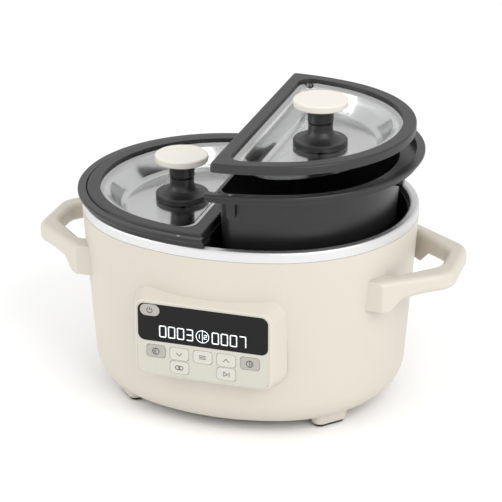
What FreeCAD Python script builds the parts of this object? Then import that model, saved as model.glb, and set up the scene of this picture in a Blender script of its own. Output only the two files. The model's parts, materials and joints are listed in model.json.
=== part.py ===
"""Oval programmable slow cooker with two lift-out D-shaped pots, each with its own glass lid.

Millimetres, +Z up, origin on the floor under the middle of the body, front (controls) towards -Y.
The left pot is seated and closed. The right pot is raised and its lid is raised further.
"""
import FreeCAD
import Part
import math
import os

os.makedirs("parts", exist_ok=True)
V = FreeCAD.Vector
X_AXIS = V(1, 0, 0)
Y_AXIS = V(0, 1, 0)
Z_AXIS = V(0, 0, 1)

# ---- overall sizes -------------------------------------------------------------------------
half_length = 165.0        # body half length at the top edge, along X
half_width = 143.0         # body half width at the top edge, along Y
end_radius = 246.0         # flat curve of the two ends
side_radius = 226.0        # flat curve of the front and back
end_half_angle = 0.8       # degrees the flat end curve runs to each side before the corner starts
housing_top = 188.0        # top edge of the plastic body above the floor
housing_bottom = 9.0       # underside of the plastic body above the floor
pot_raise = 46.0           # how far the right pot stands above its seat
lid_raise = 25.0           # how far the right lid stands above its pot

# ---- body ----------------------------------------------------------------------------------
body_taper = 12.0          # how much smaller the body outline is at its foot
body_wall = 2.6
belly_radius = 31.0        # round between the side and the underside
top_lip = 8.4              # width of the shelf round the top opening
top_lip_thickness = 2.6
cover_opening = 47.0       # inset of the opening in the underside
cover_ledge = 7.0          # shelf that the bottom cover lies against
cover_thickness = 2.4
fit_gap = 0.3              # clearance between parts that fit together

# ---- handles -------------------------------------------------------------------------------
handle_reach = 46.5 # how far a handle stands out from the body
handle_root_half = 78.0    # half width of a handle where it leaves the body
handle_end_half = 35.0     # half width of a handle at its outer corners
handle_corner = 26.0
handle_top = 156.5         # top face of the handle above the floor
handle_grip_height = 18.0
handle_root_height = 30.0  # height of the handle where it leaves the body
handle_bar = 17.0          # width of the bar round the finger opening
handle_edge = 6.0

# ---- feet ----------------------------------------------------------------------------------
foot_inset = 37.0          # middle of a foot, in from the top outline
foot_angle = 43.0          # where a foot is on the corner, from the long axis
foot_length = 35.0
foot_width = 16.0
foot_flare = 8.0
pad_height = 3.0           # rubber that shows under the foot
pad_recess = 1.2
pad_margin = 2.0

# ---- rim trim ------------------------------------------------------------------------------
trim_height = 10.0
trim_to_well = 1.2         # the trim stops this far outside the well's wall
trim_sheet = 1.2
trim_setback = 0.2         # outer face of the trim, in from the body outline
trim_outer_round = 2.6
trim_inner_round = 3.6

# ---- heating well --------------------------------------------------------------------------
well_sheet = 1.0
well_inset = 10.8          # inner wall at the top, in from the top outline
well_taper = 11.0
well_floor = 73.0          # inner floor above the body's floor
well_corner = 12.0
well_flange = 8.0

# ---- pots ----------------------------------------------------------------------------------
pot_wall = 2.2
pot_clearance = 6.7        # between the pot's outer wall and the well at the top
pot_taper = 9.0
pot_split = 5.0            # outer face of the straight wall, from the middle plane
pot_split_taper = 4.0
pot_corner = 14.0          # plan radius between the straight and the curved wall
pot_foot_round = 18.0
pot_floor_gap = 2.0        # air between a seated pot and the well floor
flange_overhang = 4.0 # flange beyond the top outline
flange_thickness = 9.2
flange_lip = 4.0           # thickness of the part that overhangs
flange_foot_inset = 0.5    # outer edge of the part that rests on the trim
flange_seat_depth = 7.2
flange_seat_inset = 4.2 # outer edge of the lid seat, in from the top outline
flange_tab_gap = 0.8       # flange ends stop this far from the middle plane
flange_tab_corner = 2.0
flange_round = 1.4
flange_straight_trim = 2.0 # flange stops this far inside the pot's ends along the straight wall
bead_width = 4.6           # rolled bead along the straight wall
bead_height = 4.6
bead_overlap = 1.6         # how far the bead sits outside the straight wall
bead_round = 1.4
rib_width = 8.0
rib_depth = 5.0
rib_height = 20.5
rib_from_middle = 21.5

# ---- lids ----------------------------------------------------------------------------------
lid_gap = 1.0              # gap between the lid rim and the flange's raised edge
lid_rim_height = 8.4
lid_rim_width = 12.6
lid_split = 4.0 # outer face of the straight rim, from the middle plane
lid_outer_corner = 4.0
lid_inner_corner = 13.0
lid_rim_round = 2.0
glass_thickness = 4.0
glass_in_rim = 6.0         # how deep the glass edge sits in the rim
lid_lower_lip = 4.0        # the rim reaches further in below the glass
glass_above_seat = 1.8
dish_depth = 20.0 # the middle of the glass is lower than its edge
dish_slope = 20.0
dish_slope_straight = 14.0 # run of the slope along the straight side
dish_steps = 4             # outlines that shape the slope of the dish
knob_x = 70.0
knob_y = 0.0
vent_from_straight = 6.4   # vent, in from the rim's lower lip along the straight side
vent_from_curve = 7.0      # the same, in from the curved side
vent_radius = 3.6
vent_tube = 2.3
vent_bore = 1.3
vent_height = 1.2
vent_round = 0.5
vent_flat = 1.0            # flat glass round the eyelet

# ---- knob ----------------------------------------------------------------------------------
cap_radius = 26.4
cap_thickness = 7.2
cap_round = 1.6
stem_radius = 12.5
stem_height = 15.7
collar_radius = 11.8
collar_height = 6.3
base_radius = 26.2
base_edge = 5.5
base_flare = 10.5
washer_radius = 15.0
washer_thickness = 1.0
seat_gap = 0.02            # clearance between stacked faces that touch
knob_screw_radius = 2.5
knob_screw_head = 6.0
knob_screw_head_height = 3.0
knob_screw_reach = 6.0     # how far the screw runs up into the stem
neck_step = 1.2            # narrow shadow line between the base and the stem
neck_depth = 1.6

# ---- control panel -------------------------------------------------------------------------
panel_half = 64.6          # half width of the fascia
panel_high = 140.6         # upper edge of the fascia above the floor
panel_corner = 8.0
panel_stand_out = 6.0      # face of the panel in front of the top outline
panel_margin = 1.8         # flat rim of the housing round the fascia
panel_spread_side = 10.2   # how much wider the raised surround is at its foot, each side
panel_spread_top = 12.0
panel_spread_low = 8.0
panel_depth = 24.0
panel_edge_round = 2.2
fascia_thickness = 2.2
lens_low = 100.5           # lower edge of the black window
lens_thickness = 1.2
fascia_ledge = 2.2
display_half = 48.0
display_low = 103.5
display_high = 121.5
board_gap = 4.6            # fascia back to board
board_thickness = 1.6
switch_size = 6.0
switch_height = 2.2
button_half_width = 9.15
button_half_height = 6.3
button_corner = 3.2
button_proud = 0.6
button_lip = 0.6
button_lip_thickness = 0.8
button_travel = 0.6
plunger_radius = 1.8
power_half_width = 9.65
power_half_height = 5.8
row_to_lens = 2.8          # upper row of buttons below the window
row_gap = 0.3              # between the lips of the two rows
column_gap = 3.5           # between the lips of neighbouring buttons
panel_foot_margin = 0.7    # between the lower row's lips and the opening behind the fascia
power_x = -51.5
power_z = 133.0
post_radius = 2.6
post_inset = 5.0
post_bore = 1.0
board_screw_head = 2.2
board_screw_head_height = 1.2
board_screw_length = 5.0

# ---- heaters and electronics ---------------------------------------------------------------
heater_thickness = 2.6
heater_gap = 0.2
heater_low = 84.0
heater_high = 126.0
heater_split = 7.0
base_heater_thickness = 4.0
base_heater_inset = 48.0
base_heater_split = 9.0
sleeve_gap = 3.2
sleeve_thickness = 2.8
sleeve_low = 78.0
sleeve_high = 148.0
shield_gap = 6.4
shield_sheet = 0.8
shield_low = 58.0
shield_high = 150.0
power_board_length = 110.0
power_board_width = 70.0
power_board_height = 22.0  # underside of the power board above the floor
relay_size = (19.0, 15.0, 16.0)
transformer_size = (34.0, 28.0, 22.0)
capacitor_radius = 7.0
capacitor_height = 20.0
board_foot_radius = 3.5
board_foot_inset = 6.0
sensor_radius = 5.0
sensor_height = 5.0
cover_screw_radius = 1.45
cover_screw_length = 12.0
cover_screw_head = 3.4
cover_screw_head_height = 2.0
cover_boss_radius = 4.0
vent_slot_length = 46.0
vent_slot_width = 3.0
vent_slot_pitch = 9.0
cord_gland_radius = 8.0
cord_gland_bore = 3.6
cord_gland_collar = 3.0    # how much wider the collar is than the bush
cord_gland_collar_thickness = 2.4
cord_gland_height = 40.0


def corner_arc_size():
    """Centre and radius of the corner arc, tangent inside both the end arc and the side arc."""
    side_y = half_width - side_radius
    dir_x = math.cos(end_angle)
    dir_y = math.sin(end_angle)
    meet_x = half_length - end_radius + end_radius * dir_x
    meet_y = end_radius * dir_y - side_y
    reach = meet_x * dir_x + meet_y * dir_y
    radius = (meet_x ** 2 + meet_y ** 2 - side_radius ** 2) / (2.0 * (reach - side_radius))
    return meet_x - radius * dir_x, meet_y + side_y - radius * dir_y, radius


end_angle = math.radians(end_half_angle)
corner_x, corner_y, corner_radius = corner_arc_size()
side_angle = math.atan2(corner_y - (half_width - side_radius), corner_x)


def arc(cx, cy, radius, start, stop, z):
    return Part.ArcOfCircle(Part.Circle(V(cx, cy, z), Z_AXIS, radius), start, stop).toShape()


def oval(inset, z):
    """Closed oval outline of eight tangent arcs, moved in from the top outline by inset."""
    turn = math.pi
    ends = (half_length - end_radius, 0.0, end_radius - inset)
    sides = (0.0, half_width - side_radius, side_radius - inset)
    radius = corner_radius - inset
    edges = [
        arc(ends[0], 0, ends[2], -end_angle, end_angle, z),
        arc(corner_x, corner_y, radius, end_angle, side_angle, z),
        arc(0, sides[1], sides[2], side_angle, turn - side_angle, z),
        arc(-corner_x, corner_y, radius, turn - side_angle, turn - end_angle, z),
        arc(-ends[0], 0, ends[2], turn - end_angle, turn + end_angle, z),
        arc(-corner_x, -corner_y, radius, turn + end_angle, turn + side_angle, z),
        arc(0, -sides[1], sides[2], turn + side_angle, 2 * turn - side_angle, z),
        arc(corner_x, -corner_y, radius, -side_angle, -end_angle, z),
    ]
    return Part.Wire(edges)


def half_oval(inset, split, corner, z):
    """Closed D outline on the +X side: a straight edge at x = split and the curved rest."""
    reach = side_radius - inset
    fillet_x = split + corner
    fillet_y = (half_width - side_radius) + math.sqrt((reach - corner) ** 2 - fillet_x ** 2)
    meet = math.atan2(fillet_y - (half_width - side_radius), fillet_x)
    turn = math.pi
    end_x = half_length - end_radius
    side_y = half_width - side_radius
    radius = corner_radius - inset
    edges = [
        Part.makeLine(V(split, fillet_y, z), V(split, -fillet_y, z)),
        arc(fillet_x, -fillet_y, corner, turn, 2 * turn - meet, z),
        arc(0, -side_y, reach, 2 * turn - meet, 2 * turn - side_angle, z),
        arc(corner_x, -corner_y, radius, -side_angle, -end_angle, z),
        arc(end_x, 0, end_radius - inset, -end_angle, end_angle, z),
        arc(corner_x, corner_y, radius, end_angle, side_angle, z),
        arc(0, side_y, reach, side_angle, meet, z),
        arc(fillet_x, fillet_y, corner, meet, turn, z),
    ]
    return Part.Wire(edges)


def loft(*wires):
    return Part.makeLoft(list(wires), True, True)


def oval_slab(inset, low, high):
    return Part.Face(oval(inset, low)).extrude(V(0, 0, high - low))


def half_slab(inset, split, corner, low, high):
    return Part.Face(half_oval(inset, split, corner, low)).extrude(V(0, 0, high - low))


def rounded(shape, radius, chosen):
    """Fillet the edges for which chosen(edge) is true."""
    edges = [edge for edge in shape.Edges if chosen(edge)]
    return shape.makeFillet(radius, edges)


def level(z):
    """Choose the edges that lie flat at height z."""
    def test(edge):
        box = edge.BoundBox
        return abs(box.ZMin - z) < 0.01 and abs(box.ZMax - z) < 0.01
    return test


def rounded_rectangle(half_x, low, high, corner, y):
    """Upright rounded rectangle in the plane at y, for the control panel."""
    def corner_arc(cx, cz, start):
        circle = Part.Circle(V(cx, y, cz), V(0, -1, 0), corner)
        circle.XAxis = X_AXIS
        return Part.ArcOfCircle(circle, math.radians(start), math.radians(start + 90)).toShape()
    right, left = half_x - corner, -half_x + corner
    top, bottom = high - corner, low + corner
    edges = [
        corner_arc(right, top, 0), Part.makeLine(V(right, y, high), V(left, y, high)),
        corner_arc(left, top, 90), Part.makeLine(V(-half_x, y, top), V(-half_x, y, bottom)),
        corner_arc(left, bottom, 180), Part.makeLine(V(left, y, low), V(right, y, low)),
        corner_arc(right, bottom, 270), Part.makeLine(V(half_x, y, bottom), V(half_x, y, top)),
    ]
    return Part.Wire(Part.__sortEdges__(edges))


def upright_block(cx, cz, half_x, half_z, corner, front, depth):
    """Rounded rectangular block with its face at y = front, running back by depth."""
    wire = rounded_rectangle(half_x, cz - half_z, cz + half_z, corner, front)
    block = Part.Face(wire).extrude(V(0, depth, 0))
    block.translate(V(cx, 0, 0))
    return block


def mirrored(shape):
    return shape.mirror(V(0, 0, 0), X_AXIS)


def moved(shape, x=0.0, y=0.0, z=0.0):
    copy = shape.copy()
    copy.translate(V(x, y, z))
    return copy


def group(shapes):
    return Part.makeCompound(shapes)


def save(shape, name):
    solids = shape.Solids
    result = solids[0] if len(solids) == 1 else Part.makeCompound(solids)
    result.exportStep("parts/" + name + ".step")
    print(name, len(solids), "solids", round(shape.Volume), "mm3", shape.isValid())


def body_inset(z):
    """Inset of the body's outer face at height z, above the belly round."""
    return body_taper * (housing_top - z) / (housing_top - housing_bottom)


def well_outer_inset(z):
    """Inset of the well's outer face at height z."""
    share = (housing_top - z) / (housing_top - well_floor)
    return well_inset - well_sheet + well_taper * share


def corner_point(inset):
    """Point on the corner arc of the outline, and the direction out of the body there."""
    angle = math.radians(foot_angle)
    reach = corner_radius - inset
    return corner_x + reach * math.cos(angle), corner_y + reach * math.sin(angle), angle


# ---- sizes that follow from the ones above --------------------------------------------------
pot_inset = well_inset + pot_clearance
trim_width = well_inset - trim_to_well
trim_top = housing_top + fit_gap + trim_height
flange_low = trim_top + fit_gap
flange_top = flange_low + flange_thickness
seat_top = flange_top - flange_seat_depth
pot_bottom = well_floor + pot_floor_gap
lid_low = seat_top + fit_gap
lid_top = lid_low + lid_rim_height
lid_inset = flange_seat_inset + lid_gap
glass_low = lid_low + glass_above_seat
glass_top = glass_low + glass_thickness
glass_hole_inset = lid_inset + lid_rim_width
dish_top = glass_top - dish_depth
vent_x = lid_split + lid_rim_width + lid_lower_lip + vent_from_straight
vent_y = (half_width - side_radius) - vent_from_curve + math.sqrt(
    (side_radius - glass_hole_inset - lid_lower_lip) ** 2 - vent_x ** 2)
dish_start = lid_lower_lip + 1.0
row_high = lens_low - row_to_lens - button_half_height
row_low = row_high - 2 * (button_half_height + button_lip) - row_gap
button_pitch = 2 * (button_half_width + button_lip) + column_gap
panel_low = row_low - button_half_height - button_lip - panel_foot_margin - fascia_ledge
panel_face = -(half_width + panel_stand_out)
fascia_back = panel_face + fascia_thickness
board_face = fascia_back + board_gap


def handle():
    """One carrying handle on the +X end: a flat loop that deepens towards the body."""
    root = half_length - corner_radius / 2.0
    outer = half_length + handle_reach
    shoulder = half_length - body_taper
    outline = Part.makePolygon([
        V(root, -handle_root_half, 0), V(shoulder, -handle_root_half, 0), V(outer, -handle_end_half, 0),
        V(outer, handle_end_half, 0), V(shoulder, handle_root_half, 0), V(root, handle_root_half, 0),
        V(root, -handle_root_half, 0)])
    block = Part.Face(outline).extrude(V(0, 0, handle_top))
    block = rounded(block, handle_corner, lambda e: e.BoundBox.ZLength > 1 and e.BoundBox.XMin > outer - 1)
    grip_low = handle_top - handle_grip_height
    root_low = handle_top - handle_root_height
    side = Part.makePolygon([
        V(root, -half_width, root_low), V(shoulder + handle_reach * 0.15, -half_width, root_low),
        V(shoulder + handle_reach * 0.3, -half_width, root_low + handle_root_height * 0.3),
        V(shoulder + handle_reach * 0.7, -half_width, grip_low),
        V(outer + 1, -half_width, grip_low), V(outer + 1, -half_width, handle_top),
        V(root, -half_width, handle_top), V(root, -half_width, root_low)])
    block = block.common(Part.Face(side).extrude(V(0, 2 * half_width, 0)))
    opening_root = handle_root_half - handle_bar * 1.1
    opening_end = handle_end_half - handle_bar
    hole = Part.makePolygon([
        V(root, -opening_root, 0), V(shoulder, -opening_root, 0), V(outer - handle_bar, -opening_end, 0),
        V(outer - handle_bar, opening_end, 0), V(shoulder, opening_root, 0), V(root, opening_root, 0),
        V(root, -opening_root, 0)])
    cutter = Part.Face(hole).extrude(V(0, 0, handle_top + 1))
    cutter = rounded(cutter, handle_corner - handle_bar / 2,
                     lambda e: e.BoundBox.ZLength > 1 and e.BoundBox.XMin > outer - handle_bar - 1)
    loop = block.cut(cutter)
    beyond = half_length + 2
    return rounded(loop, handle_edge, lambda e: e.BoundBox.XMax > beyond and e.BoundBox.ZLength < handle_reach
                   and e.BoundBox.XLength + e.BoundBox.YLength > 2)


def foot(inset_height):
    """One corner foot: a flared stub with a flat sole, standing on its rubber pad."""
    x, y, angle = corner_point(foot_inset)
    sole = pad_height

    def outline(length, width, z):
        corner = width / 2.2
        wire = rounded_rectangle(length / 2, -width / 2, width / 2, corner, 0)
        wire = wire.copy()
        wire.rotate(V(0, 0, 0), X_AXIS, -90)
        wire.translate(V(0, 0, z))
        return wire
    stub = loft(outline(foot_length, foot_width, sole),
                outline(foot_length + foot_flare, foot_width + foot_flare, sole + inset_height))
    pad = Part.Face(outline(foot_length - 2 * pad_margin, foot_width - 2 * pad_margin, 0))
    pad = pad.extrude(V(0, 0, pad_height + pad_recess))
    for piece in (stub, pad):
        piece.rotate(V(0, 0, 0), Z_AXIS, math.degrees(angle) - 90)
        piece.translate(V(x, y, 0))
    return stub, pad


def four_corners(shape):
    pair = [shape, mirrored(shape)]
    return pair + [each.mirror(V(0, 0, 0), Y_AXIS) for each in pair]


def foot_pads():
    return four_corners(foot(1)[1])


def cover_screw_places():
    x, y, _ = corner_point(cover_opening + cover_ledge / 2)
    return [(x, y), (-x, y), (x, -y), (-x, -y)]


def panel_surround():
    face = rounded_rectangle(panel_half + panel_margin, panel_low - panel_margin, panel_high + panel_margin,
                             panel_corner + panel_margin, panel_face)
    foot_wire = rounded_rectangle(panel_half + panel_spread_side, panel_low - panel_spread_low,
                                  panel_high + panel_spread_top, panel_corner + panel_spread_side,
                                  panel_face + panel_depth)
    block = loft(face, foot_wire)
    return rounded(block, panel_edge_round,
                   lambda e: e.BoundBox.YLength < 0.01 and e.BoundBox.YMin < panel_face + 1)


def outer_housing():
    skin = loft(oval(0, housing_top), oval(body_taper, housing_bottom))
    skin = rounded(skin, belly_radius, level(housing_bottom))
    inner = loft(oval(body_wall, housing_top), oval(body_taper + body_wall, housing_bottom + body_wall))
    inner = rounded(inner, belly_radius - body_wall, level(housing_bottom + body_wall))
    inner = inner.cut(oval_slab(-1, housing_top - top_lip_thickness, housing_top + 1))
    middle = panel_low + (panel_high - panel_low) / 2
    feet, _ = foot(housing_bottom + belly_radius / 3)
    solid = skin.fuse([panel_surround(), handle(), mirrored(handle())] + four_corners(feet))
    solid = solid.cut(inner)
    ledge = oval_slab(cover_opening - cover_ledge, housing_bottom + body_wall / 2,
                      housing_bottom + 2 * cover_thickness + fit_gap)
    solid = solid.fuse(ledge)
    solid = solid.cut(oval_slab(cover_opening + cover_ledge, 0, housing_bottom + belly_radius))
    solid = solid.cut(oval_slab(cover_opening, 0, housing_bottom + cover_thickness + fit_gap))
    solid = solid.cut(oval_slab(top_lip, housing_top - 2 * top_lip_thickness, housing_top + 1))
    recess = upright_block(0, middle, panel_half + fit_gap / 2, (panel_high - panel_low) / 2 + fit_gap / 2,
                           panel_corner, panel_face - 1, 1 + fascia_thickness)
    window = upright_block(0, middle, panel_half - fascia_ledge, (panel_high - panel_low) / 2 - fascia_ledge,
                           panel_corner / 2, fascia_back - 1, panel_depth)
    relief = upright_block(power_x, power_z, power_half_width + 2 * button_lip, power_half_height + button_lip
                           + fit_gap, power_half_height, fascia_back - 0.01, panel_depth)
    solid = solid.cut([recess, window, relief])
    solid = solid.cut(foot_pads())
    bosses = []
    bores = []
    boss_low = housing_bottom + 2 * cover_thickness + fit_gap - 1
    for x, y in cover_screw_places():
        bosses.append(Part.makeCylinder(cover_boss_radius, cover_screw_length, V(x, y, boss_low)))
        bores.append(Part.makeCylinder(cover_screw_radius + 0.05, cover_screw_length + 2, V(x, y, boss_low - 4)))
    solid = solid.fuse(bosses).cut(bores)
    gland_bore = Part.makeCylinder(cord_gland_radius + fit_gap / 2, half_width, V(0, half_width / 2, cord_gland_height),
                                   Y_AXIS)
    return solid.cut(gland_bore).removeSplitter()


def rim_trim():
    low = housing_top + fit_gap
    ring = oval_slab(trim_setback, low, trim_top).cut(oval_slab(trim_width, low - 1, trim_top + 1))
    ring = rounded(ring, trim_outer_round, lambda e: level(trim_top)(e) and lies_on_oval(e, trim_setback))
    ring = rounded(ring, trim_inner_round, lambda e: level(trim_top)(e) and lies_on_oval(e, trim_width))
    groove = oval_slab(trim_setback + trim_sheet, low - 1, trim_top - 2 * trim_sheet)
    groove = groove.cut(oval_slab(trim_width - trim_sheet, low - 2, trim_top))
    flange_room = oval_slab(trim_setback + trim_sheet, low - 1, low + well_sheet + fit_gap)
    return ring.cut(groove).cut(flange_room)


def lies_on_oval(edge, inset):
    """True for an edge that lies on the oval at this inset."""
    middle = edge.valueAt((edge.FirstParameter + edge.LastParameter) / 2)
    wire = oval(inset, middle.z)
    return wire.distToShape(Part.Vertex(middle))[0] < 0.05


def heating_well():
    low = well_floor - well_sheet
    outside = loft(oval(well_inset - well_sheet, housing_top), oval(well_outer_inset(low), low))
    outside = rounded(outside, well_corner + well_sheet, level(low))
    inside = loft(oval(well_inset, housing_top), oval(well_inset + well_taper, well_floor))
    inside = rounded(inside, well_corner, level(well_floor))
    flange = oval_slab(well_inset - well_flange, housing_top + 0.1, housing_top + 0.1 + well_sheet)
    neck = oval_slab(well_inset - well_sheet, housing_top - well_sheet, housing_top + 0.5)
    bore = oval_slab(well_inset, housing_top - 0.01, housing_top + 5)
    return outside.fuse([flange, neck]).cut(inside).cut(bore)


def pot():
    """Right-hand pot at its seated height: a deep D-shaped pan with a C-shaped flange and three ribs."""
    inner_corner = pot_corner - pot_wall * 1.1
    inner_split = pot_split + pot_wall
    inner_inset = pot_inset + pot_wall
    outside = loft(half_oval(pot_inset, pot_split, pot_corner, flange_top),
                   half_oval(pot_inset + pot_taper, pot_split + pot_split_taper, pot_corner, pot_bottom))
    outside = rounded(outside, pot_foot_round, level(pot_bottom))
    inside = loft(half_oval(inner_inset, inner_split, inner_corner, flange_top + 0.01),
                  half_oval(inner_inset + pot_taper, inner_split + pot_split_taper, inner_corner,
                            pot_bottom + pot_wall))
    inside = rounded(inside, pot_foot_round - pot_wall, level(pot_bottom + pot_wall))
    lip_low = flange_top - flange_lip
    flange = half_slab(-flange_overhang, flange_tab_gap, flange_tab_corner, lip_low, flange_top)
    flange = rounded(flange, flange_round, lambda e: level(flange_top)(e) or level(lip_low)(e))
    flange = flange.fuse(half_slab(flange_foot_inset, flange_tab_gap, flange_tab_corner, flange_low, lip_low + 1))
    seat = half_slab(flange_seat_inset, -pot_corner, 1.0, seat_top, flange_top + 1)
    clear_reach = half_width - inner_inset - flange_straight_trim
    clear = Part.makeBox(half_length / 2, 2 * clear_reach, 2 * flange_thickness,
                         V(-half_length / 4, -clear_reach, flange_low - 1))
    flange = flange.cut([seat, clear])
    bead_reach = half_width - pot_inset - 2 * bead_overlap
    bead = Part.makeBox(bead_width, 2 * bead_reach, bead_height,
                        V(pot_split - bead_overlap, -bead_reach, seat_top - bead_height))
    bead = rounded(bead, bead_round, lambda e: e.BoundBox.YLength > bead_reach)
    shell = outside.cut(oval_slab(-flange_overhang, seat_top, flange_top + 1))
    reach_y = reach_at(pot_inset, rib_from_middle)
    places = [(rib_from_middle, -reach_y, 90), (rib_from_middle, reach_y, 90), (half_length - pot_inset, 0, 0)]
    ribs = [pot_rib(x, y, turn) for x, y, turn in places]
    return shell.fuse([flange, bead] + ribs).cut(inside)


def pot_rib(x, y, turn):
    """Upright rib below the flange, rounded at its lower end, standing half out of the wall."""
    rib_low = flange_low - rib_height
    rib = Part.makeBox(2 * rib_depth, rib_width, rib_height + 1, V(-rib_depth, -rib_width / 2, rib_low))
    rib = rounded(rib, rib_width / 2 - 0.2, lambda e: e.BoundBox.ZMax < rib_low + 1 and e.BoundBox.XLength > 2)
    rib.rotate(V(0, 0, 0), Z_AXIS, turn)
    rib.translate(V(x, y, 0))
    return rib


def reach_at(inset, x):
    """How far out in Y the outline with this inset is at this x."""
    return (half_width - side_radius) + math.sqrt((side_radius - inset) ** 2 - x ** 2)


def lid_rim():
    body = half_slab(lid_inset, lid_split, lid_outer_corner, lid_low, lid_top)
    body = rounded(body, lid_rim_round, level(lid_top))
    hole_split = lid_split + lid_rim_width
    hole = half_slab(glass_hole_inset, hole_split, lid_inner_corner, glass_low, lid_top + 1)
    low_hole = half_slab(glass_hole_inset + lid_lower_lip, hole_split + lid_lower_lip, lid_inner_corner - 2,
                         lid_low - 1, glass_top)
    ring = body.cut([hole, low_hole])
    groove = half_slab(glass_hole_inset - glass_in_rim, hole_split - glass_in_rim, lid_inner_corner - 2,
                       glass_low, glass_top)
    return ring.cut(groove)


def lid_glass():
    hole_split = lid_split + lid_rim_width
    edge = glass_in_rim - fit_gap / 2
    plate = half_slab(glass_hole_inset - edge, hole_split - edge, lid_inner_corner - 2, glass_low, glass_top)
    hollow = bowl(dish_start, glass_top + 0.01, dish_depth + 0.01)
    under = bowl(lid_lower_lip + fit_gap, glass_low, dish_depth)
    spot = vent_seat()
    seat = Part.makeCylinder(vent_radius + vent_flat, glass_thickness, V(vent_x, vent_y, spot - glass_thickness))
    clear = Part.makeCylinder(vent_radius + vent_flat, 2 * dish_depth, V(vent_x, vent_y, spot))
    glass = plate.fuse(under).cut(hollow).fuse(seat).cut(clear)
    low = dish_top - dish_depth
    bore = Part.makeCylinder(knob_screw_radius + fit_gap, 2 * dish_depth, V(knob_x, knob_y, low))
    vent = Part.makeCylinder(vent_tube + 0.1, 3 * dish_depth, V(vent_x, vent_y, low))
    return glass.cut([bore, vent])


def bowl(start, top, drop):
    """Solid with the shape of the dish, its edge this far in from the hole in the rim."""
    inset = glass_hole_inset + start
    split = lid_split + lid_rim_width + start
    outlines = []
    for i in range(dish_steps + 1):
        share = i / dish_steps
        fall = drop * (1 - math.cos(math.pi * share)) / 2
        outlines.append(half_oval(inset + dish_slope * share, split + dish_slope_straight * share,
                                  lid_inner_corner, top - fall))
    return loft(*outlines)


def vent_seat():
    """Height of the small flat spot for the vent, level with the slope of the dish at the vent."""
    edge = reach_at(glass_hole_inset + dish_start, vent_x)
    from_curve = (edge - vent_y) / dish_slope
    from_straight = (vent_x - lid_split - lid_rim_width - dish_start) / dish_slope_straight
    share = min(1.0, max(0.0, from_curve), max(0.0, from_straight))
    return glass_top - dish_depth * share


def vent_eyelet():
    """Steel eyelet crimped through the glass, with a small hole for the steam."""
    spot = vent_seat()
    top = Part.makeCylinder(vent_radius, vent_height, V(vent_x, vent_y, spot + seat_gap))
    top = rounded(top, vent_round, level(spot + seat_gap + vent_height))
    low = spot - glass_thickness - vent_round
    tube = Part.makeCylinder(vent_tube, glass_thickness + vent_height, V(vent_x, vent_y, low))
    bore = Part.makeCylinder(vent_bore, 2 * dish_depth, V(vent_x, vent_y, spot - dish_depth))
    return top.fuse(tube).cut(bore)


def turned(points):
    """Solid of revolution about the knob's axis from (radius, height) points."""
    wire = Part.makePolygon([V(r, 0, z) for r, z in points] + [V(points[0][0], 0, points[0][1])])
    solid = Part.Face(wire).revolve(V(0, 0, 0), Z_AXIS, 360)
    return moved(solid, knob_x, knob_y)


def knob_parts():
    """Base, stem, cap, washer and screw of one knob, standing on the sunk middle of the glass."""
    base_low = dish_top + washer_thickness
    edge_top = base_low + base_edge
    collar_low = edge_top + base_flare
    stem_low = collar_low + collar_height
    cap_low = stem_low + stem_height
    steps = 7
    flare = []
    for i in range(1, steps):
        turn = math.pi / 2 * i / steps
        flare.append((base_radius - 1 - (base_radius - 1 - collar_radius) * math.sin(turn),
                      collar_low - base_flare * math.cos(turn)))
    bore = knob_screw_radius + 0.1
    neck = collar_radius - neck_depth
    base = turned([(bore, base_low), (base_radius, base_low), (base_radius, edge_top - 1),
                   (base_radius - 1, edge_top)] + flare + [
                  (collar_radius, collar_low), (collar_radius, stem_low - neck_step),
                  (neck, stem_low - neck_step), (neck, stem_low), (bore, stem_low)])
    stem_foot = stem_low + fit_gap / 3
    stem = turned([(0, stem_foot), (stem_radius - 1, stem_foot), (stem_radius, stem_foot + 1),
                   (stem_radius, cap_low), (0, cap_low)])
    stem = stem.cut(on_knob_axis(bore, knob_screw_reach + 2, stem_low - 1))
    cap = on_knob_axis(cap_radius, cap_thickness, cap_low + seat_gap)
    cap = rounded(cap, cap_round, lambda e: e.BoundBox.ZLength < 0.01)
    washer = on_knob_axis(washer_radius, washer_thickness - 2 * seat_gap, dish_top + seat_gap)
    washer = washer.cut(on_knob_axis(bore, 2 * washer_thickness, dish_top - washer_thickness / 2))
    head_top = dish_top - glass_thickness - fit_gap
    shank = on_knob_axis(knob_screw_radius, stem_low + knob_screw_reach - head_top, head_top)
    head_low = head_top - knob_screw_head_height
    head = rounded(on_knob_axis(knob_screw_head, knob_screw_head_height, head_low), 1.2, level(head_low))
    return {"knob_base": base, "knob_stem": stem, "knob_cap": cap, "knob_washer": washer,
            "knob_screw": head.fuse(shank)}


def on_knob_axis(radius, height, low):
    return Part.makeCylinder(radius, height, V(knob_x, knob_y, low))


BUTTONS = [
    ("power", power_x, power_z, power_half_width, power_half_height),
    ("left_pot", -2 * button_pitch, row_high, button_half_width, button_half_height),
    ("down", -button_pitch, row_high, button_half_width, button_half_height),
    ("select", 0.0, row_high, button_half_width, button_half_height),
    ("up", button_pitch, row_high, button_half_width, button_half_height),
    ("right_pot", 2 * button_pitch, row_high, button_half_width, button_half_height),
    ("together", -button_pitch, row_low, button_half_width, button_half_height),
    ("start", button_pitch, row_low, button_half_width, button_half_height),
]


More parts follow.
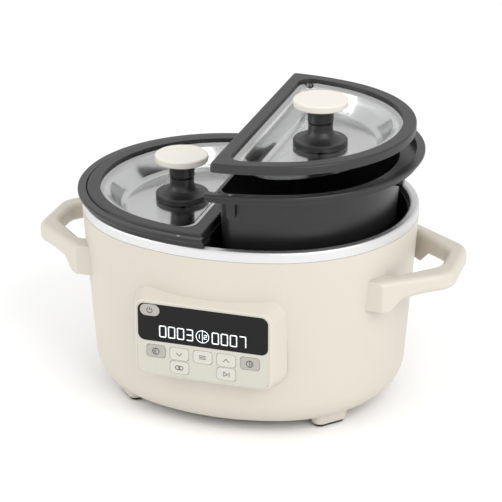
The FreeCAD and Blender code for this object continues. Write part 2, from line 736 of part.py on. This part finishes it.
def button(x, z, half_x, half_z, corner):
    """Key cap with a lip behind the fascia and a plunger that reaches its switch."""
    lip_front = fascia_back + 0.1
    lip_back = lip_front + button_lip_thickness
    cap = upright_block(x, z, half_x, half_z, corner, panel_face - button_proud,
                        lip_front + 0.1 - panel_face + button_proud)
    cap = rounded(cap, 0.5, lambda e: e.BoundBox.YLength < 0.01 and e.BoundBox.YMax < panel_face)
    lip = upright_block(x, z, half_x + button_lip, half_z + button_lip, corner + button_lip, lip_front,
                        button_lip_thickness)
    reach = board_face - switch_height - button_travel - 0.1 - lip_back
    plunger = Part.makeCylinder(plunger_radius, reach + 0.5, V(x, lip_back - 0.5, z), Y_AXIS)
    return cap.fuse([lip, plunger])


def control_fascia():
    middle = (panel_low + panel_high) / 2
    plate = upright_block(0, middle, panel_half, (panel_high - panel_low) / 2, panel_corner, panel_face,
                          fascia_thickness)
    pocket = upright_block(0, (lens_low + panel_high) / 2, panel_half - 1.0, (panel_high - lens_low) / 2 - 1.0,
                           panel_corner - 1.0, panel_face - 1, 1 + lens_thickness)
    aperture = upright_block(0, (display_low + display_high) / 2, display_half, (display_high - display_low) / 2, 1.0,
                             panel_face - 1, 10)
    holes = []
    for _, x, z, half_x, half_z in BUTTONS:
        corner = half_z if half_x == power_half_width else button_corner
        holes.append(upright_block(x, z, half_x + fit_gap, half_z + fit_gap, corner, panel_face - 1, 10))
    plate = plate.cut([pocket, aperture] + holes)
    posts = []
    for x, z in board_screw_places():
        post = Part.makeCylinder(post_radius, board_gap, V(x, fascia_back, z), Y_AXIS)
        posts.append(post.cut(Part.makeCylinder(post_bore, board_gap, V(x, fascia_back + 1, z), Y_AXIS)))
    return plate.fuse(posts)


def board_screw_places():
    x = panel_half - fascia_ledge - post_inset + 1
    return [(sx * x, z) for sx in (-1, 1)
            for z in (panel_low + fascia_ledge + post_inset - 1, panel_high - fascia_ledge - post_inset - 12)]


def display_window():
    lens = upright_block(0, (lens_low + panel_high) / 2, panel_half - 1.1, (panel_high - lens_low) / 2 - 1.1,
                         panel_corner - 1.1, panel_face, lens_thickness)
    hole = upright_block(power_x, power_z, power_half_width + fit_gap, power_half_height + fit_gap,
                         power_half_height, panel_face - 1, 10)
    return lens.cut(hole)


def control_board():
    middle = (panel_low + panel_high) / 2
    board = upright_block(0, middle, panel_half - fascia_ledge - 1, (panel_high - panel_low) / 2 - fascia_ledge - 1,
                          2.0, board_face, board_thickness)
    bores = [Part.makeCylinder(post_bore + fit_gap, 10, V(x, board_face - 1, z), Y_AXIS)
             for x, z in board_screw_places()]
    return board.cut(bores)


def board_screws():
    screws = []
    back = board_face + board_thickness + seat_gap
    for x, z in board_screw_places():
        head = Part.makeCylinder(board_screw_head, board_screw_head_height, V(x, back, z), Y_AXIS)
        shank = Part.makeCylinder(post_bore - 0.05, board_screw_length, V(x, back + 0.05 - board_screw_length, z), Y_AXIS)
        screws.append(head.fuse(shank))
    return group(screws)


def key_switches():
    switches = []
    for _, x, z, _, _ in BUTTONS:
        body = Part.makeBox(switch_size, switch_height - 0.5, switch_size,
                            V(x - switch_size / 2, board_face - switch_height + 0.5, z - switch_size / 2))
        dot = Part.makeCylinder(1.6, 0.6, V(x, board_face - switch_height, z), Y_AXIS)
        switches.append(body.fuse(dot))
    return group(switches)


def display_module():
    depth = board_face - panel_face - lens_thickness - 0.4
    return upright_block(0, (display_low + display_high) / 2, display_half - 0.5,
                         (display_high - display_low) / 2 - 0.5, 1.0, panel_face + lens_thickness + 0.3, depth)


def half_ring(low, high, inner, outer, split):
    """Right half of a tapered sleeve round the well between two gaps outside its wall."""
    outside = loft(oval(well_outer_inset(high) - outer, high), oval(well_outer_inset(low) - outer, low))
    inside = loft(oval(well_outer_inset(high) - inner, high), oval(well_outer_inset(low) - inner, low))
    ring = outside.cut(inside)
    keep = Part.makeBox(2 * half_length, 4 * half_width, 2 * high, V(split, -2 * half_width, 0))
    return ring.common(keep)


def sleeve():
    outer = sleeve_gap + sleeve_thickness
    outside = loft(oval(well_outer_inset(sleeve_high) - outer, sleeve_high),
                   oval(well_outer_inset(sleeve_low) - outer, sleeve_low))
    inside = loft(oval(well_outer_inset(sleeve_high) - sleeve_gap, sleeve_high),
                  oval(well_outer_inset(sleeve_low) - sleeve_gap, sleeve_low))
    return outside.cut(inside)


def heat_shield():
    """Open-topped bright pan round the insulation, between the hot well and the electronics."""
    def outline(gap, z):
        return oval(well_outer_inset(max(z, well_floor)) - gap, z)
    outside = loft(outline(shield_gap + shield_sheet, shield_high), outline(shield_gap + shield_sheet, shield_low))
    inside = loft(outline(shield_gap, shield_high + 0.01), outline(shield_gap, shield_low + shield_sheet))
    return outside.cut(inside)


def base_heater():
    top = well_floor - well_sheet - heater_gap
    return half_slab(base_heater_inset, base_heater_split, 12, top - base_heater_thickness, top)


def sensor():
    top = well_floor - well_sheet - heater_gap - base_heater_thickness - 0.1
    return Part.makeCylinder(sensor_radius, sensor_height, V(knob_x, 0, top - sensor_height))


def power_board():
    return Part.makeBox(power_board_length, power_board_width, board_thickness,
                        V(-power_board_length / 2, -power_board_width / 2, power_board_height))


def board_parts():
    """Relays, transformer and capacitor standing on the power board."""
    top = power_board_height + board_thickness + seat_gap
    relay_x = [-power_board_length / 2 + board_foot_inset + i * (relay_size[0] + 5) for i in range(2)]
    relays = [Part.makeBox(*relay_size, V(x, -2 * relay_size[1], top)) for x in relay_x]
    transformer = Part.makeBox(*transformer_size, V(transformer_size[0] / 3, -transformer_size[1] / 2, top))
    capacitor = Part.makeCylinder(capacitor_radius, capacitor_height,
                                  V(-power_board_length / 3, 2 * capacitor_radius, top))
    return relays, transformer, capacitor


def board_feet():
    """Four short posts that hold the power board off the bottom cover."""
    low = housing_bottom + cover_thickness
    x = power_board_length / 2 - board_foot_inset
    y = power_board_width / 2 - board_foot_inset
    return four_corners(Part.makeCylinder(board_foot_radius, power_board_height - low, V(x, y, low)))


def bottom_cover():
    plate = oval_slab(cover_opening + fit_gap, housing_bottom, housing_bottom + cover_thickness)
    plate = plate.fuse(board_feet())
    holes = [Part.makeCylinder(cover_screw_radius + 0.5, 2 * housing_bottom, V(x, y, 0))
             for x, y in cover_screw_places()]
    slots = [Part.makeBox(vent_slot_length, vent_slot_width, 2 * cover_thickness + housing_bottom,
                          V(-vent_slot_length / 2, row * vent_slot_pitch - vent_slot_width / 2, 1))
             for row in range(-3, 4)]
    return plate.cut(slots + holes)


def cover_screws():
    screws = []
    head_low = housing_bottom - seat_gap - cover_screw_head_height
    for x, y in cover_screw_places():
        head = Part.makeCylinder(cover_screw_head, cover_screw_head_height, V(x, y, head_low))
        shank = Part.makeCylinder(cover_screw_radius, cover_screw_length, V(x, y, housing_bottom - 0.5))
        screws.append(head.fuse(shank))
    return group(screws)


def cord_gland():
    """Blank inlet bush in the back wall where the mains lead would enter."""
    y = half_width - body_inset(cord_gland_height)
    tube = Part.makeCylinder(cord_gland_radius, 16, V(0, y - 10, cord_gland_height), Y_AXIS)
    collar_low = y + cord_gland_collar_thickness / 2
    collar = Part.makeCylinder(cord_gland_radius + cord_gland_collar, cord_gland_collar_thickness,
                               V(0, collar_low, cord_gland_height), Y_AXIS)
    collar = rounded(collar, 0.8, lambda e: e.BoundBox.YLength < 0.01 and e.BoundBox.YMin > collar_low + 1)
    bore = Part.makeCylinder(cord_gland_bore, 40, V(0, y - 20, cord_gland_height), Y_AXIS)
    return tube.fuse(collar).cut(bore)


def save_pot_side(side, raise_pot, raise_lid):
    place = (lambda s: s) if side == "right" else mirrored
    save(place(moved(pot(), z=raise_pot)), side + "_pot")
    lift = raise_pot + raise_lid
    save(place(moved(lid_rim(), z=lift)), side + "_lid_rim")
    save(place(moved(lid_glass(), z=lift)), side + "_lid_glass")
    save(place(moved(vent_eyelet(), z=lift)), side + "_vent_eyelet")
    for name, shape in knob_parts().items():
        save(place(moved(shape, z=lift)), side + "_" + name)
    heater = half_ring(heater_low, heater_high, heater_gap, heater_gap + heater_thickness, heater_split)
    save(place(heater), side + "_wall_heater")
    save(place(base_heater()), side + "_base_heater")
    save(place(sensor()), side + "_thermistor")


def main():
    save(outer_housing(), "outer_housing")
    save(rim_trim(), "rim_trim")
    save(heating_well(), "heating_well")
    save(group(foot_pads()), "foot_pads")
    save(control_fascia(), "control_fascia")
    save(display_window(), "display_window")
    save(display_module(), "display_module")
    save(control_board(), "control_board")
    save(board_screws(), "board_screws")
    save(key_switches(), "key_switches")
    for name, x, z, half_x, half_z in BUTTONS:
        corner = half_z - 0.01 if name == "power" else button_corner
        save(button(x, z, half_x, half_z, corner), name + "_button")
    save(sleeve(), "insulation_sleeve")
    save(heat_shield(), "heat_shield")
    save(power_board(), "power_board")
    relays, transformer, capacitor = board_parts()
    save(group(relays), "relays")
    save(transformer, "transformer")
    save(capacitor, "capacitor")
    save(bottom_cover(), "bottom_cover")
    save(cover_screws(), "cover_screws")
    save(cord_gland(), "cord_gland")
    save_pot_side("left", 0.0, 0.0)
    save_pot_side("right", pot_raise, lid_raise)


main()
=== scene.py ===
"""Looks of the twin-pot slow cooker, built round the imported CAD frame."""
import json
import math

import bmesh
import bpy
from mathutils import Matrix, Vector


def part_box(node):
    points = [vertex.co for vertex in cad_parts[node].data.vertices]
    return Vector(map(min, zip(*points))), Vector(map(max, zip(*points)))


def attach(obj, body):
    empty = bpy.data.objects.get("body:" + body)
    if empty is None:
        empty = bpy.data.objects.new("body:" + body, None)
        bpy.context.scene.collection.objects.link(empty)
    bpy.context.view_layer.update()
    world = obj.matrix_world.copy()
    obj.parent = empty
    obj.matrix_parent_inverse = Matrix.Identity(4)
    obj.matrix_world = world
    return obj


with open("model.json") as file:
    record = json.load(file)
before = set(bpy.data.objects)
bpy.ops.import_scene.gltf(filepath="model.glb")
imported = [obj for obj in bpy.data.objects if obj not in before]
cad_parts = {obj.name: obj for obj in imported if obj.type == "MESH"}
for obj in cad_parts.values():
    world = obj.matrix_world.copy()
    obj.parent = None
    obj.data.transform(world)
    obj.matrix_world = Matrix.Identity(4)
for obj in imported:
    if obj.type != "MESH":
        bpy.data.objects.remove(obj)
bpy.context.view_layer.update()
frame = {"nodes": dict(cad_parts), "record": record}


def new_material(name):
    material = bpy.data.materials.new(name)
    material.use_nodes = True
    tree = material.node_tree
    tree.nodes.clear()
    return material, tree


def node(tree, kind, **sockets):
    made = tree.nodes.new(kind)
    for key, value in sockets.items():
        made.inputs[key.replace("_", " ")].default_value = value
    return made


def principled(name, colour, rough, metal=0.0, grain=0.0, grain_scale=900.0, bump=0.0, spread=0.04,
               coat=0.0, specular=0.5):
    """Plain surface with fine grain in colour, roughness and height."""
    material, tree = new_material(name)
    out = node(tree, "ShaderNodeOutputMaterial")
    shader = node(tree, "ShaderNodeBsdfPrincipled", Metallic=metal)
    shader.inputs["Coat Weight"].default_value = coat
    shader.inputs["Specular IOR Level"].default_value = specular
    tree.links.new(shader.outputs[0], out.inputs[0])
    place = node(tree, "ShaderNodeTexCoord")
    cloud = node(tree, "ShaderNodeTexNoise", Scale=9.0, Detail=3.0)
    tree.links.new(place.outputs["Object"], cloud.inputs["Vector"])
    tint = node(tree, "ShaderNodeMapRange")
    tint.inputs["To Min"].default_value = 1.0 - spread
    tint.inputs["To Max"].default_value = 1.0 + spread
    tree.links.new(cloud.outputs["Fac"], tint.inputs["Value"])
    shade = node(tree, "ShaderNodeVectorMath")
    shade.operation = "SCALE"
    shade.inputs[0].default_value = colour[:3]
    tree.links.new(tint.outputs[0], shade.inputs["Scale"])
    tree.links.new(shade.outputs[0], shader.inputs["Base Color"])
    fine = node(tree, "ShaderNodeTexNoise", Scale=grain_scale, Detail=2.0)
    tree.links.new(place.outputs["Object"], fine.inputs["Vector"])
    polish = node(tree, "ShaderNodeMapRange")
    polish.inputs["To Min"].default_value = max(0.02, rough - grain)
    polish.inputs["To Max"].default_value = min(1.0, rough + grain)
    tree.links.new(fine.outputs["Fac"], polish.inputs["Value"])
    tree.links.new(polish.outputs[0], shader.inputs["Roughness"])
    if bump:
        relief = node(tree, "ShaderNodeBump", Strength=bump, Distance=0.0002)
        tree.links.new(fine.outputs["Fac"], relief.inputs["Height"])
        tree.links.new(relief.outputs[0], shader.inputs["Normal"])
    return material


def lit_material(name, colour, glow):
    """Lit display segment: pale, evenly glowing, slightly uneven in tone."""
    material, tree = new_material(name)
    out = node(tree, "ShaderNodeOutputMaterial")
    shader = node(tree, "ShaderNodeBsdfPrincipled", Roughness=0.4)
    shader.inputs["Emission Strength"].default_value = glow
    place = node(tree, "ShaderNodeTexCoord")
    cloud = node(tree, "ShaderNodeTexNoise", Scale=300.0, Detail=2.0)
    tone = node(tree, "ShaderNodeMapRange")
    tone.inputs["To Min"].default_value = 0.92
    tone.inputs["To Max"].default_value = 1.0
    shade = node(tree, "ShaderNodeVectorMath")
    shade.operation = "SCALE"
    shade.inputs[0].default_value = colour
    tree.links.new(place.outputs["Object"], cloud.inputs["Vector"])
    tree.links.new(cloud.outputs["Fac"], tone.inputs["Value"])
    tree.links.new(tone.outputs[0], shade.inputs["Scale"])
    tree.links.new(shade.outputs[0], shader.inputs["Base Color"])
    tree.links.new(shade.outputs[0], shader.inputs["Emission Color"])
    tree.links.new(shader.outputs[0], out.inputs[0])
    return material


def glass_material(name):
    """Clear glass with a pale veil: part lets through what is under it, part reflects the room."""
    material, tree = new_material(name)
    out = node(tree, "ShaderNodeOutputMaterial")
    clear = node(tree, "ShaderNodeBsdfTransparent", Color=(0.92, 0.93, 0.93, 1))
    gloss = node(tree, "ShaderNodeBsdfGlossy", Color=(0.97, 0.97, 0.97, 1), Roughness=0.12)
    facing = node(tree, "ShaderNodeLayerWeight", Blend=0.35)
    weight = node(tree, "ShaderNodeMapRange")
    weight.inputs["To Min"].default_value = 0.42
    weight.inputs["To Max"].default_value = 0.8
    tree.links.new(facing.outputs["Fresnel"], weight.inputs["Value"])
    mix = node(tree, "ShaderNodeMixShader")
    tree.links.new(weight.outputs[0], mix.inputs[0])
    tree.links.new(clear.outputs[0], mix.inputs[1])
    tree.links.new(gloss.outputs[0], mix.inputs[2])
    tree.links.new(mix.outputs[0], out.inputs[0])
    return material


FINISHES = {
    "housing": principled("housing", (0.575, 0.535, 0.465), 0.42, grain=0.06, bump=0.12, spread=0.015),
    "trim_steel": principled("trim_steel", (0.70, 0.70, 0.70), 0.42, metal=1.0, grain=0.1, bump=0.35),
    "well_coating": principled("well_coating", (0.006, 0.006, 0.006), 0.45, grain=0.05),
    "foot_rubber": principled("foot_rubber", (0.02, 0.02, 0.02), 0.8, grain=0.05, bump=0.2),
    "fascia": principled("fascia", (0.52, 0.505, 0.44), 0.45, grain=0.05, bump=0.06, spread=0.015),
    "window": principled("window", (0.003, 0.003, 0.003), 0.16, specular=0.25),
    "display": principled("display", (0.004, 0.004, 0.005), 0.2),
    "circuit_board": principled("circuit_board", (0.02, 0.12, 0.05), 0.5),
    "screw_steel": principled("screw_steel", (0.6, 0.6, 0.6), 0.35, metal=1.0),
    "switch_plastic": principled("switch_plastic", (0.02, 0.02, 0.02), 0.5),
    "button_grey": principled("button_grey", (0.38, 0.36, 0.32), 0.5, grain=0.05, bump=0.05),
    "button_light": principled("button_light", (0.55, 0.54, 0.48), 0.5, grain=0.05, bump=0.05),
    "insulation": principled("insulation", (0.75, 0.72, 0.62), 0.9),
    "shield_metal": principled("shield_metal", (0.7, 0.7, 0.7), 0.3, metal=1.0),
    "relay_plastic": principled("relay_plastic", (0.02, 0.03, 0.1), 0.5),
    "transformer_wrap": principled("transformer_wrap", (0.5, 0.35, 0.05), 0.4),
    "capacitor_sleeve": principled("capacitor_sleeve", (0.01, 0.015, 0.05), 0.3),
    "cover_plastic": principled("cover_plastic", (0.05, 0.05, 0.05), 0.6),
    "gland_rubber": principled("gland_rubber", (0.02, 0.02, 0.02), 0.6),
    "pot_coating": principled("pot_coating", (0.010, 0.010, 0.010), 0.34, grain=0.06, bump=0.15),
    "silicone": principled("silicone", (0.018, 0.018, 0.018), 0.45, grain=0.06, bump=0.1),
    "lid_glass": glass_material("lid_glass"),
    "eyelet_steel": principled("eyelet_steel", (0.7, 0.7, 0.7), 0.25, metal=1.0),
    "knob_dark": principled("knob_dark", (0.014, 0.014, 0.014), 0.4, grain=0.06, bump=0.08),
    "knob_cream": principled("knob_cream", (0.72, 0.69, 0.62), 0.38, grain=0.05, bump=0.05, spread=0.015),
    "heater_sheet": principled("heater_sheet", (0.3, 0.18, 0.08), 0.6),
    "heater_plate": principled("heater_plate", (0.5, 0.5, 0.5), 0.5, metal=1.0),
    "sensor_ceramic": principled("sensor_ceramic", (0.7, 0.7, 0.66), 0.6),
}
SLOT_OF = {part["node"]: part["material_slot"] for part in frame["record"]["subparts"]}
for name, thing in frame["nodes"].items():
    if SLOT_OF[name] in FINISHES:
        for i in range(len(thing.data.materials)):
            thing.data.materials[i] = FINISHES[SLOT_OF[name]]

# ---- marks on the display, the buttons and the pot flanges -----------------------------------
MM = 0.001
MARK_LIFT = 0.03 * MM          # marks float this far off the face they are printed on
MARK_THICKNESS = 0.08 * MM
DIGIT_SIZE = (6.0 * MM, 11.0 * MM)
DIGIT_PITCH = 8.8 * MM
SEGMENT_GAP = 0.7 * MM
DIGIT_START = 12.6 * MM        # middle of the innermost digit, from the middle of the display
SEGMENTS = {"0": "abcdef", "3": "abcdg", "7": "abc"}
lit = lit_material("lit_segment", (0.86, 0.90, 0.92), 0.75)
ink = principled("dark_ink", (0.03, 0.03, 0.03), 0.5, spread=0.1)
pale_ink = principled("pale_ink", (0.45, 0.45, 0.44), 0.5, spread=0.1)


def mark(name, strokes, width, middle, upright, material, body):
    """Thin raised strokes: polylines in the plane of a face, each stretch a small flat bar."""
    points = []
    faces = []
    for line in strokes:
        for (u0, v0), (u1, v1) in zip(line[:-1], line[1:]):
            run = math.hypot(u1 - u0, v1 - v0)
            along = ((u1 - u0) / run, (v1 - v0) / run)
            side = (-along[1] * width / 2, along[0] * width / 2)
            end = (along[0] * width / 2, along[1] * width / 2)
            first = len(points)
            corners = [
                (u0 - end[0] + side[0], v0 - end[1] + side[1]),
                (u0 - end[0] - side[0], v0 - end[1] - side[1]),
                (u1 + end[0] - side[0], v1 + end[1] - side[1]),
                (u1 + end[0] + side[0], v1 + end[1] + side[1]),
            ]
            for lift in (MARK_LIFT, MARK_LIFT + MARK_THICKNESS):
                for u, v in corners:
                    if upright:
                        points.append((middle[0] + u, middle[1] - lift, middle[2] + v))
                    else:
                        points.append((middle[0] + u, middle[1] + v, middle[2] + lift))
            low = [first + i for i in range(4)]
            high = [first + 4 + i for i in range(4)]
            faces.append(low[::-1])
            faces.append(high)
            for i in range(4):
                j = (i + 1) % 4
                faces.append([low[i], low[j], high[j], high[i]])
    mesh = bpy.data.meshes.new(name)
    mesh.from_pydata(points, [], faces)
    mesh.update()
    shape = bmesh.new()
    shape.from_mesh(mesh)
    bmesh.ops.recalc_face_normals(shape, faces=shape.faces)
    shape.to_mesh(mesh)
    shape.free()
    mesh.materials.append(material)
    piece = bpy.data.objects.new(name, mesh)
    bpy.context.collection.objects.link(piece)
    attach(piece, body)
    return piece


def ring_line(radius, start=0.0, stop=360.0, centre=(0.0, 0.0), steps=24):
    turns = [math.radians(start + (stop - start) * i / steps) for i in range(steps + 1)]
    return [(centre[0] + radius * math.cos(t), centre[1] + radius * math.sin(t)) for t in turns]


def digit_lines(character, middle):
    """Strokes of one seven-segment digit, its middle this far along the display."""
    half_w, half_h = DIGIT_SIZE[0] / 2, DIGIT_SIZE[1] / 2
    gap = SEGMENT_GAP
    ends = {
        "a": ((-half_w + gap, half_h), (half_w - gap, half_h)),
        "b": ((half_w, gap), (half_w, half_h - gap)),
        "c": ((half_w, -gap), (half_w, -half_h + gap)),
        "d": ((-half_w + gap, -half_h), (half_w - gap, -half_h)),
        "e": ((-half_w, -gap), (-half_w, -half_h + gap)),
        "f": ((-half_w, gap), (-half_w, half_h - gap)),
        "g": ((-half_w + gap, 0), (half_w - gap, 0)),
    }
    return [[(middle + u, v) for u, v in ends[name]] for name in SEGMENTS[character]]


display_low, display_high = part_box("display_module")
window_low, window_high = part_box("display_window")
display_middle = ((display_low.x + display_high.x) / 2, window_low.y, (display_low.z + display_high.z) / 2)
digits = []
for i, character in enumerate("000"):
    digits += digit_lines(character, -DIGIT_START - (3 - i) * DIGIT_PITCH)
digits += digit_lines("3", -DIGIT_START)
for i, character in enumerate("0007"):
    digits += digit_lines(character, DIGIT_START + i * DIGIT_PITCH)
mark("display_digits", digits, 0.95 * MM, display_middle, True, lit, "base")
halves = [
    ring_line(6.2 * MM),
    [(0, -6.2 * MM), (0, 6.2 * MM)],
    [(-3 * MM, -2 * MM), (-3 * MM, 2 * MM)],
    [(1.6 * MM, 2 * MM), (4.0 * MM, 2 * MM), (4.0 * MM, 0), (1.6 * MM, 0), (1.6 * MM, -2 * MM),
     (4.0 * MM, -2 * MM)],
]
mark("display_pot_sign", halves, 0.5 * MM, display_middle, True, lit, "base")

ICONS = {
    "power": [ring_line(2.6 * MM, 125, 415), [(0, 0.6 * MM), (0, 3.2 * MM)]],
    "left_pot": [ring_line(3.2 * MM), [(0, -3.2 * MM), (0, 3.2 * MM)],
                 [(-1.6 * MM, -1.2 * MM), (-1.6 * MM, 1.2 * MM)]],
    "right_pot": [ring_line(3.2 * MM), [(0, -3.2 * MM), (0, 3.2 * MM)],
                  [(1.6 * MM, -1.2 * MM), (1.6 * MM, 1.2 * MM)]],
    "down": [[(-2.6 * MM, 1.2 * MM), (0, -1.6 * MM), (2.6 * MM, 1.2 * MM)]],
    "up": [[(-2.6 * MM, -1.2 * MM), (0, 1.6 * MM), (2.6 * MM, -1.2 * MM)]],
    "select": [[(-3.0 * MM, 1.6 * MM), (3.0 * MM, 1.6 * MM)], [(-3.0 * MM, 0), (3.0 * MM, 0)],
               [(-3.0 * MM, -1.6 * MM), (3.0 * MM, -1.6 * MM)]],
    "together": [ring_line(2.1 * MM, centre=(-1.5 * MM, 0)), ring_line(2.1 * MM, centre=(1.5 * MM, 0))],
    "start": [[(-2.2 * MM, -2.2 * MM), (-2.2 * MM, 2.2 * MM), (1.6 * MM, 0), (-2.2 * MM, -2.2 * MM)],
              [(3.0 * MM, -2.2 * MM), (3.0 * MM, 2.2 * MM)]],
}
for key, lines in ICONS.items():
    low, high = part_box(key + "_button")
    place = ((low.x + high.x) / 2, low.y, (low.z + high.z) / 2)
    mark(key + "_sign", lines, 0.55 * MM, place, True, ink, key + "_key")

FLANGE_MARK_X = 25 * MM
FLANGE_MARK_INSET = 5.2 * MM   # from the front edge of the flange
for side, sign in (("left", -1), ("right", 1)):
    low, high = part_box(side + "_pot")
    arrow = [[(-1.6 * MM, 1.2 * MM), (0, -1.4 * MM), (1.6 * MM, 1.2 * MM), (-1.6 * MM, 1.2 * MM)]]
    place = (sign * FLANGE_MARK_X, low.y + FLANGE_MARK_INSET, high.z)
    mark(side + "_flange_mark", arrow, 0.5 * MM, place, False, pale_ink, side + "_pot_body")

# ---- floor and backdrop ---------------------------------------------------------------------
FLOOR_SIZE = 16.0
FLOOR_DROP = 0.0006            # the floor lies just under the feet
bpy.ops.mesh.primitive_plane_add(size=FLOOR_SIZE, location=(0, 0, -FLOOR_DROP))
floor = bpy.context.object
floor.name = "floor"
floor.data.materials.append(principled("floor_paper", (0.94, 0.94, 0.94), 0.9, grain=0.05, grain_scale=400.0,
                                       bump=0.02, spread=0.006))

ROOM_BRIGHTNESS = 0.92
world = bpy.data.worlds.new("room")
bpy.context.scene.world = world
world.use_nodes = True
world.node_tree.nodes["Background"].inputs[0].default_value = (1, 1, 1, 1)
world.node_tree.nodes["Background"].inputs[1].default_value = ROOM_BRIGHTNESS
bpy.context.scene.view_settings.view_transform = "Standard"


def soft_light(name, place, target, size, power, colour=(1, 1, 1)):
    data = bpy.data.lights.new(name, "AREA")
    data.shape = "RECTANGLE"
    data.size, data.size_y = size
    data.energy = power
    data.color = colour
    lamp = bpy.data.objects.new(name, data)
    lamp.location = place
    lamp.rotation_mode = "QUATERNION"
    lamp.rotation_quaternion = (Vector(target) - Vector(place)).to_track_quat("-Z", "Y")
    bpy.context.collection.objects.link(lamp)
    return lamp


soft_light("key", (1.6, -1.2, 1.6), (0, 0, 0.1), (1.6, 1.6), 30)
soft_light("fill", (-1.8, -1.0, 1.2), (0, 0, 0.1), (1.4, 1.4), 14)

# ---- camera -----------------------------------------------------------------------------------
azimuth = math.radians(17.25)
elevation = math.radians(23.2)
distance = 1.9535
band_height = 0.188            # the camera is aimed from the height of the rim band
aim_right = 0.0008
aim_up = -0.0459
back = Vector((math.sin(azimuth) * math.cos(elevation), -math.cos(azimuth) * math.cos(elevation),
               math.sin(elevation)))
right = Vector((math.cos(azimuth), math.sin(azimuth), 0))
up = back.cross(right)
camera_data = bpy.data.cameras.new("camera")
camera_data.sensor_width = 36.0
camera_data.lens = 143.4263     # long lens, in mm
camera_data.clip_start = 0.05
camera_data.clip_end = 50.0
camera = bpy.data.objects.new("camera", camera_data)
camera.location = Vector((0, 0, band_height)) + back * distance + right * aim_right + up * aim_up
camera.rotation_mode = "QUATERNION"
camera.rotation_quaternion = (-back).to_track_quat("-Z", "Y")
bpy.context.collection.objects.link(camera)
bpy.context.scene.camera = camera
